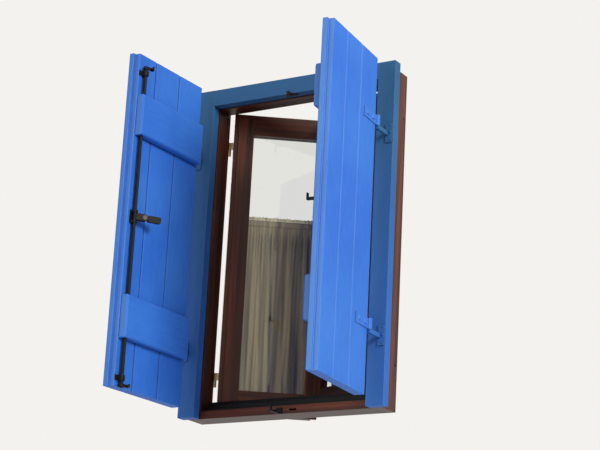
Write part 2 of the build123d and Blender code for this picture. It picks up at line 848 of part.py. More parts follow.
def trim_field(hinge, side):
    """Cut the raised field back to the rim above and below it."""
    strip = box_outline(side * window_rebate_half, window_stop - field_rise, -side * sight_inner, rim_front)
    upright(hinge, strip, field_top, rim_top, mode=Mode.SUBTRACT)
    upright(hinge, strip, rim_bottom, field_bottom, mode=Mode.SUBTRACT)


for side_name, (side, hinge) in sashes.items():
    with BuildPart() as hinge_stile:
        hinge_outline = [
            (-rim_half, rim_front),
            (-field_half, rim_front),
            (-field_half, sash_front),
            (-sight_outer, sash_front),
            (-sight_outer, glass_seat),
            (-rebate_outer, glass_seat),
            (-rebate_outer, sash_back),
            (-rim_half, sash_back),
        ]
        upright(hinge, mirrored(hinge_outline, side), rim_bottom, rim_top)
        trim_field(hinge, side)
    finish_piece(hinge_stile, f"{side_name}_sash_stile_hinge")

    with BuildPart() as meeting_stile:
        upright(hinge, meeting_outlines[side_name], rim_bottom, rim_top)
        trim_field(hinge, side)
    finish_piece(meeting_stile, f"{side_name}_sash_stile_meeting")

    with BuildPart() as top_rail:
        front_part = [
            (sash_front, sight_top),
            (glass_seat, sight_top),
            (glass_seat, rim_top),
            (rim_front, rim_top),
            (rim_front, field_top),
            (sash_front, field_top),
        ]
        lengthways(hinge, front_part, side * sight_outer, side * sight_inner)
        back_part = box_outline(glass_seat, rebate_top, sash_back, rim_top)
        lengthways(hinge, back_part, side * rebate_outer, side * rebate_inner)
    finish_piece(top_rail, f"{side_name}_sash_rail_top")

    with BuildPart() as bottom_rail:
        front_part = [
            (rim_front, rim_bottom),
            (glass_seat, rim_bottom),
            (glass_seat, sight_bottom),
            (sash_front, sight_bottom),
            (sash_front, field_bottom),
            (rim_front, field_bottom),
        ]
        lengthways(hinge, front_part, side * sight_outer, side * sight_inner)
        back_part = box_outline(glass_seat, rim_bottom, sash_back, rebate_bottom)
        lengthways(hinge, back_part, side * rebate_outer, side * rebate_inner)
    finish_piece(bottom_rail, f"{side_name}_sash_rail_bottom")

    with BuildPart() as pane:
        pane_back = glass_seat + glass_thickness
        pane_plan = box_outline(
            side * (rebate_outer - glass_gap), glass_seat, side * (rebate_inner + glass_gap), pane_back
        )
        upright(hinge, pane_plan, rebate_bottom + glass_gap, rebate_top - glass_gap)
    finish_piece(pane, f"{side_name}_sash_glass")

    with BuildPart() as beads:
        bead_back = pane_back + bead_depth
        for outer, inner in ((rebate_outer, sight_outer), (rebate_inner, sight_inner)):
            eased = inner - bead_round if inner > outer else inner + bead_round
            bead_plan = [
                (side * outer, pane_back),
                (side * inner, pane_back),
                (side * inner, bead_back - bead_round),
                (side * eased, bead_back),
                (side * outer, bead_back),
            ]
            upright(hinge, bead_plan, rebate_bottom, rebate_top)
        for outer, inner in ((rebate_bottom, sight_bottom), (rebate_top, sight_top)):
            eased = inner - bead_round if inner > outer else inner + bead_round
            bead_section = [
                (pane_back, outer),
                (pane_back, inner),
                (bead_back - bead_round, inner),
                (bead_back, eased),
                (bead_back, outer),
            ]
            lengthways(hinge, bead_section, side * sight_outer, side * sight_inner)
    finish_piece(beads, f"{side_name}_sash_glazing_beads")

    with BuildPart() as hinge_pins:
        pivot = (side * sash_pivot_x, sash_pivot_y)
        for knuckle_low in knuckle_levels:
            knuckle_top = knuckle_low + knuckle_length
            web = box_outline(
                side * (sash_pivot_x - knuckle_web_lap), window_back,
                side * (sash_pivot_x + knuckle_radius), sash_pivot_y,
            )
            upright(fixed, web, knuckle_low, knuckle_top)
            column(fixed, pivot, knuckle_radius, knuckle_low, knuckle_top)
            wing = box_outline(
                side * (sash_pivot_x - knuckle_web_lap), window_back,
                side * (window_outer_half - knuckle_web_lap), window_back + leaf_plate,
            )
            upright(fixed, wing, knuckle_low - leaf_plate_extra, knuckle_top)
            column(fixed, pivot, knuckle_pin, knuckle_top, knuckle_top + knuckle_pin_length)
    finish_piece(hinge_pins, f"sash_hinge_pins_{side_name}")

    with BuildPart() as sash_hinges:
        for knuckle_low in knuckle_levels:
            knuckle_base = knuckle_low + knuckle_length
            knuckle_top = knuckle_base + knuckle_length
            column(hinge, pivot, knuckle_radius, knuckle_base, knuckle_top)
            neck = box_outline(
                side * (sash_pivot_x - knuckle_neck_lap), sash_back,
                side * (rim_half - sash_gap), sash_pivot_y - shut_clearance,
            )
            upright(hinge, neck, knuckle_base, knuckle_top)
            wing = box_outline(
                side * rim_half, sash_back, side * (rim_half - leaf_plate_reach), sash_back + leaf_plate
            )
            upright(hinge, wing, knuckle_base, knuckle_top + leaf_plate_extra)
            bore = knuckle_pin + running_gap
            column(hinge, pivot, bore, knuckle_base, knuckle_top - knuckle_cap, mode=Mode.SUBTRACT)
    finish_piece(sash_hinges, f"{side_name}_sash_hinges")

# Handle of the right sash
right_sash = sashes["right"][1]
rose_back = sash_back + rose_thickness
with BuildPart() as handle_rose:
    with BuildSketch(facing(right_sash, rose_back)) as rose_outline:
        with Locations((handle_x, handle_level)):
            RectangleRounded(2 * rose_half, rose_height, rose_round)
    extrude(rose_outline.sketch, amount=rose_thickness)
finish_piece(handle_rose, "handle_rose")

with BuildPart() as window_handle:
    neck_back = rose_back + neck_length
    peg(right_sash, (handle_x, handle_level), neck_radius, rose_back, neck_back)
    with BuildSketch(across(right_sash, handle_x)) as handle_outline:
        with Locations((neck_back - handle_grip_depth / 2, handle_level)):
            RectangleRounded(handle_grip_depth, handle_grip_height, handle_round)
    extrude(handle_outline.sketch, amount=handle_length)
finish_piece(window_handle, "window_handle")

# Curtain rods with their brackets, and the gathered curtains


def gather(position, phase):
    """Depth of the gathered cloth at a place along the rod, as uneven waves."""
    depth = 0
    for share, fold_length, shift in curtain_folds:
        depth += share * sin(2 * pi * position / fold_length + shift * phase)
    return depth


def cloth_outline(side, phase, front, back, wave):
    """Plan of a waved strip of cloth, between two offsets from the rod."""
    steps = [curtain_start + (curtain_end - curtain_start) * index / curtain_steps
             for index in range(curtain_steps + 1)]
    crests = [(side * place, curtain_rod_y + wave * gather(place, phase)) for place in steps]
    front_points = [(x, y + front) for x, y in crests]
    back_points = [(x, y + back) for x, y in crests]
    return front_points + back_points[::-1]


for side_name, (side, hinge) in sashes.items():
    with BuildPart() as curtain_rod:
        rod_start = min(side * rod_inner_end, side * rod_outer_end)
        with BuildSketch(across(hinge, rod_start)) as rod_outline:
            with Locations((curtain_rod_y, curtain_rod_level)):
                Circle(curtain_rod_radius)
        extrude(rod_outline.sketch, amount=rod_outer_end - rod_inner_end)
    finish_piece(curtain_rod, f"{side_name}_curtain_rod")

    with BuildPart() as curtain_brackets:
        cradle = curtain_rod_radius + curtain_bracket_fit
        bracket_low = curtain_rod_level - curtain_bracket_height / 2
        bracket_high = curtain_rod_level + curtain_bracket_height / 2
        for spot in bracket_spots[side_name]:
            bracket_plan = box_outline(
                spot - curtain_bracket_half, sash_back,
                spot + curtain_bracket_half, curtain_rod_y + curtain_rod_radius + curtain_bracket_lip,
            )
            upright(hinge, bracket_plan, bracket_low, bracket_high)
            with BuildSketch(across(hinge, spot)) as cradle_outline:
                with Locations((curtain_rod_y, curtain_rod_level)):
                    Circle(cradle)
            extrude(cradle_outline.sketch, amount=curtain_bracket_half, both=True, mode=Mode.SUBTRACT)
            mouth = box_outline(
                spot - curtain_bracket_half, curtain_rod_y - cradle,
                spot + curtain_bracket_half, curtain_rod_y + cradle,
            )
            upright(hinge, mouth, curtain_rod_level, bracket_high, mode=Mode.SUBTRACT)
    finish_piece(curtain_brackets, f"{side_name}_curtain_brackets")

    with BuildPart() as curtain:
        phase = curtain_phases[side_name]
        heading = cloth_outline(
            side, phase, -curtain_heading_half, curtain_heading_half, curtain_heading_wave
        )
        upright(hinge, heading, curtain_pocket_bottom, curtain_top)
        cloth = cloth_outline(side, phase, 0, curtain_thickness, curtain_wave)
        upright(hinge, cloth, curtain_bottom, curtain_pocket_bottom)
        pocket = box_outline(
            curtain_rod_y - curtain_pocket_half, curtain_rod_level - curtain_pocket_rise,
            curtain_rod_y + curtain_pocket_half, curtain_rod_level + curtain_pocket_rise,
        )
        lengthways(hinge, pocket, side * rod_inner_end, side * rod_outer_end, mode=Mode.SUBTRACT)
    finish_piece(curtain, f"{side_name}_curtain")
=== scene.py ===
# Window with shutters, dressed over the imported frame. Metres throughout.
import math

import bpy
import numpy as np
from mathutils import Matrix, Vector


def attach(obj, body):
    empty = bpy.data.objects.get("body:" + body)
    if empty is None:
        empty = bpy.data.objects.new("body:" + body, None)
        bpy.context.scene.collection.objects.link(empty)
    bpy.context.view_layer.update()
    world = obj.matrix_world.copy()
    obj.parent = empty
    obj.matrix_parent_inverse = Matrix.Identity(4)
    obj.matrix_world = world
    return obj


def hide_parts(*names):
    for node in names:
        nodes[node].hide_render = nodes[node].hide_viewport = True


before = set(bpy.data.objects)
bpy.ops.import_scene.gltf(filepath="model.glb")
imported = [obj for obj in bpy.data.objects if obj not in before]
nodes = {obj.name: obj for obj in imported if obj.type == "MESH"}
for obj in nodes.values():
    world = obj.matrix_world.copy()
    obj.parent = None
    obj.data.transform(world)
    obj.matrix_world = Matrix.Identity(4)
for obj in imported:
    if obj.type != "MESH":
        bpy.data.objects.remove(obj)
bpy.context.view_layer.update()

print("frame loaded with", len(nodes), "nodes")

# How each leaf stands: its body, its hinge axis in plan and its turn from shut, in degrees
leafTurns = {
    "leftShutter": {"body": "left_shutter_leaf", "x": -0.392, "y": -0.072, "turn": -92.19},
    "rightShutter": {"body": "right_shutter_leaf", "x": 0.392, "y": -0.072, "turn": 95.58},
    "leftSash": {"body": "left_sash_leaf", "x": -0.365, "y": 0.150, "turn": 35.5},
    "rightSash": {"body": "right_sash_leaf", "x": 0.365, "y": 0.150, "turn": -21.0},
    "fixed": {"body": "frame", "x": 0.0, "y": 0.0, "turn": 0.0},
}


def turnedPoints(points, leaf):
    # points in the shut position, turned about the leaf's hinge axis in plan
    place = leafTurns[leaf]
    angle = math.radians(place["turn"])
    points = np.asarray(points, dtype=float)
    dx = points[..., 0] - place["x"]
    dy = points[..., 1] - place["y"]
    turned = points.copy()
    turned[..., 0] = place["x"] + dx * math.cos(angle) - dy * math.sin(angle)
    turned[..., 1] = place["y"] + dx * math.sin(angle) + dy * math.cos(angle)
    return turned


def linear(hexText):
    # sRGB hex to linear colour: c / 12.92 when small, else ((c + 0.055) / 1.055) to the power 2.4
    values = [int(hexText[i:i + 2], 16) / 255 for i in (1, 3, 5)]
    return tuple(c / 12.92 if c <= 0.04045 else ((c + 0.055) / 1.055) ** 2.4 for c in values) + (1.0,)


def addNode(tree, kind, settings=None, links=None):
    # one node, its settings by property or socket name, its links as socket: output
    node = tree.nodes.new(kind)
    for key, value in (settings or {}).items():
        if isinstance(key, str) and hasattr(node, key) and key not in node.inputs:
            setattr(node, key, value)
        else:
            node.inputs[key].default_value = value
    for key, output in (links or {}).items():
        tree.links.new(output, node.inputs[key])
    return node


def newMaterial(name):
    material = bpy.data.materials.new(name)
    material.use_nodes = True
    tree = material.node_tree
    tree.nodes.clear()
    coords = addNode(tree, "ShaderNodeTexCoord")
    shader = addNode(tree, "ShaderNodeBsdfPrincipled")
    out = addNode(tree, "ShaderNodeOutputMaterial", links={"Surface": shader.outputs["BSDF"]})
    return material, tree, coords.outputs["Object"], shader, out


def grainVector(tree, coords, run, turn, fine):
    # coordinates turned with the leaf, then stretched so that patterns run with the grain
    stretch = 1 / 26
    scale = {"up": (1, 1, stretch), "along": (stretch, 1, 1)}[run]
    inverse = [1 / (fine * s) for s in scale]
    return addNode(tree, "ShaderNodeMapping", {
        "vector_type": "TEXTURE", "Rotation": (0, 0, math.radians(turn)), "Scale": inverse,
    }, {"Vector": coords}).outputs["Vector"]


# Alkyd paint brushed on softwood: a chalky even film with fine bristle lines, paler where sun and rain reach
# it on the open leaves, with painted light on faces towards the street, rubbed pale along the edges, with
# painted shade in the joints and corners and a painted highlight along the street side's joints
bluePaint = {
    "coats": {
        "shutter": {"body": "#2967cc", "faded": "#3f82dc", "bleached": "#6c97cf", "bleachAndLightShare": 0.60},
        # painted shade: the frame's coat is the same blue painted darker and greener, as if in shade; its low
        # tone is the lit blue lower down
        "frame": {"body": "#235583", "faded": "#2e6696", "bleached": "#5f86a6", "bleachAndLightShare": 0.15,
                  "low": "#2a61b4"},
    },
    # dark tone for bristle lines, dirt specks and painted shade; pale chalk tone for specks and for the
    # painted highlight along street-side joints
    "darkTone": "#0e2a5c", "chalkAndLight": "#7ba6e2", "chalkAndLightShare": 0.85,
    "brushMarks": 420.0,              # per metre across the grain, bristle lines 2.4 mm apart
    "patches": 2.6, "flecks": 150.0,  # broad tone changes 0.4 m apart, specks 7 mm apart
    "street": (0.20, -0.93, 0.30), "roughness": (0.50, 0.66), "specular": 0.22, "bump": 0.10,
    # reach of the painted corner shade, and the heights between which the frame goes from painted shade at
    # its head to its lighter tone
    "rubbedWidth": 0.0022, "shadeReach": 0.010, "shadedAbove": 1.05, "litBelow": 0.25,
}


def makeBluePaint(name, run, turn, coat):
    tones = bluePaint["coats"][coat]
    material, tree, coords, shader, _ = newMaterial(name)
    grain = grainVector(tree, coords, run, turn, bluePaint["brushMarks"])
    streaks = addNode(tree, "ShaderNodeTexNoise", {"Scale": 1.0, "Detail": 4.0, "Roughness": 0.6},
                      {"Vector": grain})
    patches = addNode(tree, "ShaderNodeTexNoise", {"Scale": bluePaint["patches"], "Detail": 3.0},
                      {"Vector": coords})
    flecks = addNode(tree, "ShaderNodeTexNoise", {"Scale": bluePaint["flecks"], "Detail": 2.0},
                     {"Vector": coords})
    fade = addNode(tree, "ShaderNodeMapRange", {"From Min": 0.40, "From Max": 0.66, "To Max": 0.45},
                   {"Value": patches.outputs["Fac"]})
    body = addNode(tree, "ShaderNodeMix", {
        "data_type": "RGBA", 6: linear(tones["body"]), 7: linear(tones["faded"]),
    }, {0: fade.outputs["Result"]})
    if "low" in tones:
        # painted shade: the frame is painted in its deep tone near its head, where shade falls, and lighter
        # lower down
        height = addNode(tree, "ShaderNodeSeparateXYZ", links={"Vector": coords})
        down = addNode(tree, "ShaderNodeMapRange", {
            "From Min": bluePaint["shadedAbove"], "From Max": bluePaint["litBelow"]},
            {"Value": height.outputs["Z"]})
        body = addNode(tree, "ShaderNodeMix", {"data_type": "RGBA", 7: linear(tones["low"])},
                       {0: down.outputs["Result"], 6: body.outputs[2]})
    # faces that look at the street from the open leaves are painted paler, unevenly: partly sun bleaching,
    # partly painted light from that side
    place = addNode(tree, "ShaderNodeTexCoord")
    outward = addNode(tree, "ShaderNodeVectorMath", {"operation": "DOT_PRODUCT", 1: bluePaint["street"]},
                      {0: place.outputs["Normal"]})
    streetBleachAndLight = addNode(tree, "ShaderNodeMapRange",
                      {"From Min": 0.84, "From Max": 0.96, "To Max": tones["bleachAndLightShare"]},
                      {"Value": outward.outputs["Value"]})
    bleached = addNode(tree, "ShaderNodeMix", {"data_type": "RGBA", 7: linear(tones["bleached"])},
                       {0: streetBleachAndLight.outputs["Result"], 6: body.outputs[2]})
    line = addNode(tree, "ShaderNodeMapRange", {"From Min": 0.40, "From Max": 0.78, "To Max": 0.22},
                   {"Value": streaks.outputs["Fac"]})
    streaked = addNode(tree, "ShaderNodeMix", {"data_type": "RGBA", 7: linear(bluePaint["darkTone"])},
                       {0: line.outputs["Result"], 6: bleached.outputs[2]})
    # rubbed edges: where a rounded normal differs from the real one, broken up by the flecks
    rounded = addNode(tree, "ShaderNodeBevel", {"samples": 4, "Radius": bluePaint["rubbedWidth"]})
    surface = addNode(tree, "ShaderNodeNewGeometry")
    likeness = addNode(tree, "ShaderNodeVectorMath", {"operation": "DOT_PRODUCT"},
                       {0: rounded.outputs["Normal"], 1: surface.outputs["True Normal"]})
    edge = addNode(tree, "ShaderNodeMapRange", {"From Min": 0.995, "From Max": 0.90},
                   {"Value": likeness.outputs["Value"]})
    broken = addNode(tree, "ShaderNodeMapRange",
                     {"From Min": 0.42, "From Max": 0.62, "To Min": 0.12, "To Max": 0.75},
                     {"Value": flecks.outputs["Fac"]})
    rubbed = addNode(tree, "ShaderNodeMath", {"operation": "MULTIPLY"},
                     {0: edge.outputs["Result"], 1: broken.outputs["Result"]})
    worn = addNode(tree, "ShaderNodeMix", {"data_type": "RGBA", 7: linear(tones["bleached"])},
                   {0: rubbed.outputs[0], 6: streaked.outputs[2]})
    # painted shade: the paint is darkened where the surface is shut in, at board joints, under the ledges and
    # behind the ironware; the flecks add dark dirt specks
    occlusionShade = addNode(tree, "ShaderNodeAmbientOcclusion", {"samples": 6, "Distance": bluePaint["shadeReach"]})
    paintedCornerShade = addNode(tree, "ShaderNodeMapRange", {"From Min": 0.74, "From Max": 0.46, "To Max": 0.94},
                     {"Value": occlusionShade.outputs["AO"]})
    fleck = addNode(tree, "ShaderNodeMapRange", {"From Min": 0.70, "From Max": 0.78, "To Max": 0.4},
                    {"Value": flecks.outputs["Fac"]})
    shadeAndFlecks = addNode(tree, "ShaderNodeMath", {"operation": "MAXIMUM"},
                   {0: paintedCornerShade.outputs["Result"], 1: fleck.outputs["Result"]})
    # on the street side of the leaves the same mask is painted pale instead: a painted highlight along the
    # joints, and chalky pale specks
    angle = math.radians(turn)
    streetward = addNode(tree, "ShaderNodeVectorMath",
                         {"operation": "DOT_PRODUCT", 1: (math.sin(angle), -math.cos(angle), 0.0)},
                         {0: place.outputs["Normal"]})
    streetChalkAndLight = addNode(tree, "ShaderNodeMapRange", {
        "From Min": 0.2, "From Max": 0.5, "To Max": bluePaint["chalkAndLightShare"] if coat == "shutter" else 0.0},
        {"Value": streetward.outputs["Value"]})
    shadeAndLightTone = addNode(tree, "ShaderNodeMix", {
        "data_type": "RGBA", 6: linear(bluePaint["darkTone"]), 7: linear(bluePaint["chalkAndLight"]),
    }, {0: streetChalkAndLight.outputs["Result"]})
    paint = addNode(tree, "ShaderNodeMix", {"data_type": "RGBA"},
                    {0: shadeAndFlecks.outputs[0], 6: worn.outputs[2], 7: shadeAndLightTone.outputs[2]})
    tree.links.new(paint.outputs[2], shader.inputs["Base Color"])
    shader.inputs["Specular IOR Level"].default_value = bluePaint["specular"]
    low, high = bluePaint["roughness"]
    gloss = addNode(tree, "ShaderNodeMapRange",
                    {"From Min": 0.3, "From Max": 0.7, "To Min": low, "To Max": high},
                    {"Value": streaks.outputs["Fac"]})
    tree.links.new(gloss.outputs["Result"], shader.inputs["Roughness"])
    relief = addNode(tree, "ShaderNodeBump", {"Strength": bluePaint["bump"], "Distance": 0.002},
                     {"Height": streaks.outputs["Fac"]})
    tree.links.new(relief.outputs["Normal"], shader.inputs["Normal"])
    return material


# Stained and varnished meranti: open straight pores 3 mm apart, deep red brown under a satin film
stainedTimber = {
    "deep": "#200b04", "mid": "#3f1708", "warm": "#612a10", "darkTone": "#0b0503",
    "pores": 330.0, "figure": 34.0, "roughness": 0.42, "specular": 0.25, "bump": 0.12,
    "coat": 0.06, "coatRoughness": 0.3, "shadeReach": 0.012,
}


def makeStainedTimber(name, run, turn):
    material, tree, coords, shader, _ = newMaterial(name)
    poreSpace = grainVector(tree, coords, run, turn, stainedTimber["pores"])
    figureSpace = grainVector(tree, coords, run, turn, stainedTimber["figure"])
    pores = addNode(tree, "ShaderNodeTexNoise", {"Scale": 1.0, "Detail": 5.0, "Roughness": 0.7},
                    {"Vector": poreSpace})
    figure = addNode(tree, "ShaderNodeTexNoise", {"Scale": 1.0, "Detail": 4.0, "Distortion": 0.8},
                     {"Vector": figureSpace})
    bands = addNode(tree, "ShaderNodeValToRGB", links={"Fac": figure.outputs["Fac"]})
    bands.color_ramp.elements[0].position = 0.32
    bands.color_ramp.elements[0].color = linear(stainedTimber["deep"])
    bands.color_ramp.elements[1].position = 0.72
    bands.color_ramp.elements[1].color = linear(stainedTimber["warm"])
    middle = bands.color_ramp.elements.new(0.5)
    middle.color = linear(stainedTimber["mid"])
    dark = addNode(tree, "ShaderNodeMapRange", {"From Min": 0.52, "From Max": 0.7, "To Max": 0.6},
                   {"Value": pores.outputs["Fac"]})
    wood = addNode(tree, "ShaderNodeMix", {"data_type": "RGBA", 7: linear(stainedTimber["deep"])},
                   {0: dark.outputs["Result"], 6: bands.outputs["Color"]})
    # painted shade: the timber is painted darker where it is shut in, in its corners and rebates
    occlusionShade = addNode(tree, "ShaderNodeAmbientOcclusion",
                     {"samples": 4, "Distance": stainedTimber["shadeReach"]})
    paintedCornerShade = addNode(tree, "ShaderNodeMapRange", {"From Min": 0.65, "From Max": 0.2, "To Max": 0.85},
                     {"Value": occlusionShade.outputs["AO"]})
    cornerShaded = addNode(tree, "ShaderNodeMix", {"data_type": "RGBA", 7: linear(stainedTimber["darkTone"])},
                     {0: paintedCornerShade.outputs["Result"], 6: wood.outputs[2]})
    tree.links.new(cornerShaded.outputs[2], shader.inputs["Base Color"])
    shader.inputs["Roughness"].default_value = stainedTimber["roughness"]
    shader.inputs["Specular IOR Level"].default_value = stainedTimber["specular"]
    shader.inputs["Coat Weight"].default_value = stainedTimber["coat"]
    shader.inputs["Coat Roughness"].default_value = stainedTimber["coatRoughness"]
    relief = addNode(tree, "ShaderNodeBump", {"Strength": stainedTimber["bump"], "Distance": 0.0015},
                     {"Height": pores.outputs["Fac"]})
    tree.links.new(relief.outputs["Normal"], shader.inputs["Normal"])
    return material


def makeSpeckledMetal(name, settings):
    # a metal, painted metal or rubber: tone and shine vary in fine grit, and stains lie in larger patches
    material, tree, coords, shader, _ = newMaterial(name)
    fine = addNode(tree, "ShaderNodeTexNoise", {"Scale": settings["grit"], "Detail": 4.0}, {"Vector": coords})
    tone = addNode(tree, "ShaderNodeMix", {
        "data_type": "RGBA", 6: linear(settings["body"]), 7: linear(settings["worn"]),
    }, {0: fine.outputs["Fac"]})
    broad = addNode(tree, "ShaderNodeTexNoise",
                    {"Scale": settings["grit"] / 6, "Detail": 5.0, "Roughness": 0.65}, {"Vector": coords})
    spread = addNode(tree, "ShaderNodeMapRange",
                     {"From Min": 0.52, "From Max": 0.66, "To Max": settings["stained"]},
                     {"Value": broad.outputs["Fac"]})
    mottled = addNode(tree, "ShaderNodeMix", {"data_type": "RGBA", 7: linear(settings["stain"])},
                      {0: spread.outputs["Result"], 6: tone.outputs[2]})
    tree.links.new(mottled.outputs[2], shader.inputs["Base Color"])
    shader.inputs["Metallic"].default_value = settings["metallic"]
    if settings["metallic"] == 0.0:
        shader.inputs["Specular IOR Level"].default_value = settings["specular"]
    low, high = settings["roughness"]
    gloss = addNode(tree, "ShaderNodeMapRange",
                    {"From Min": 0.3, "From Max": 0.7, "To Min": low, "To Max": high},
                    {"Value": fine.outputs["Fac"]})
    tree.links.new(gloss.outputs["Result"], shader.inputs["Roughness"])
    relief = addNode(tree, "ShaderNodeBump", {"Strength": settings["bump"], "Distance": 0.0008},
                     {"Height": fine.outputs["Fac"]})
    tree.links.new(relief.outputs["Normal"], shader.inputs["Normal"])
    return material


# Wrought iron under brushed black paint: dead black with a little brown rust
blackIron = {
    "body": "#050506", "worn": "#0e0e0e", "stain": "#1e120b", "stained": 0.25, "grit": 320.0,
    "metallic": 0.0, "specular": 0.22, "roughness": (0.50, 0.70), "bump": 0.25,
}
# Extruded aluminium, bronze anodised: the dyed oxide film hides the metal, even and nearly black
bronzeAluminium = {
    "body": "#080706", "worn": "#100e0c", "stain": "#060505", "stained": 0.5, "grit": 900.0,
    "metallic": 0.0, "specular": 0.18, "roughness": (0.44, 0.54), "bump": 0.03,
}
# Pressed steel, zinc plated and yellow passivated: dull gold with darker clouds
platedSteel = {
    "body": "#a8966a", "worn": "#c2b48c", "stain": "#6f6247", "stained": 0.5, "grit": 500.0,
    "metallic": 1.0, "roughness": (0.28, 0.42), "bump": 0.05,
}
# Turned bright steel, rubbed clean where the lever swings on it
rubbedSteel = {
    "body": "#5c5652", "worn": "#6f6864", "stain": "#3f3732", "stained": 0.5, "grit": 700.0,
    "metallic": 1.0, "roughness": (0.62, 0.78), "bump": 0.05,
}
# Cast and polished brass under lacquer, slightly browned
satinBrass = {
    "body": "#b98d45", "worn": "#cda863", "stain": "#7a5a2c", "stained": 0.35, "grit": 420.0,
    "metallic": 1.0, "roughness": (0.24, 0.38), "bump": 0.04,
}
# Extruded rubber: matt black, a little dusty
sealRubber = {
    "body": "#0a0a0a", "worn": "#161616", "stain": "#24221f", "stained": 0.3, "grit": 700.0,
    "metallic": 0.0, "specular": 0.3, "roughness": (0.7, 0.85), "bump": 0.10,
}


# Clear float glass: a faint green body and long soft waves, about 0.14 m apart, from the drawing of the sheet
floatGlass = {"body": "#eceeec", "shadow": "#e9ebe9", "ior": 1.52, "waves": 7.0, "bump": 0.02}


def makeGlass():
    # light for shadows passes straight through the pane
    material, tree, coords, shader, out = newMaterial("clearFloatGlass")
    shader.inputs["Base Color"].default_value = linear(floatGlass["body"])
    shader.inputs["Roughness"].default_value = 0.0
    shader.inputs["Transmission Weight"].default_value = 1.0
    shader.inputs["IOR"].default_value = floatGlass["ior"]
    waves = addNode(tree, "ShaderNodeTexNoise", {"Scale": floatGlass["waves"], "Detail": 1.0},
                    {"Vector": coords})
    relief = addNode(tree, "ShaderNodeBump", {"Strength": floatGlass["bump"], "Distance": 0.002},
                     {"Height": waves.outputs["Fac"]})
    tree.links.new(relief.outputs["Normal"], shader.inputs["Normal"])
    clear = addNode(tree, "ShaderNodeBsdfTransparent", {"Color": linear(floatGlass["shadow"])})
    path = addNode(tree, "ShaderNodeLightPath")
    mixed = addNode(tree, "ShaderNodeMixShader", links={
        0: path.outputs["Is Shadow Ray"], 1: shader.outputs["BSDF"], 2: clear.outputs["BSDF"]})
    tree.links.new(mixed.outputs["Shader"], out.inputs["Surface"])
    return material


# Woven cotton voile: a soft, slightly see-through cloth with slubs in its threads. The threads are drawn
# 0.9 mm apart, coarser than real ones, so that the weave shows
netCloth = {
    # the fold tone is painted shade in the folds, bands and seams; the ruffle tone is painted light on the
    # ruffle over the rod
    "thread": "#c3b18d", "shade": "#836f4e", "foldShade": "#2e271d", "ruffle": "#efe4c6",
    "pitch": 0.0009, "slubs": 90.0, "shadeBandScale": 36.0,  # metres; then per metre, 11 and 28 mm apart
    "roughness": 0.85, "sheen": 0.2, "lightThrough": 0.14, "bump": 0.25, "foldReach": 0.016,
    "hemTop": 0.128, "ruffleFoot": 0.784, "seams": (0.7825, 0.7625), "seamHalf": 0.0012,
}


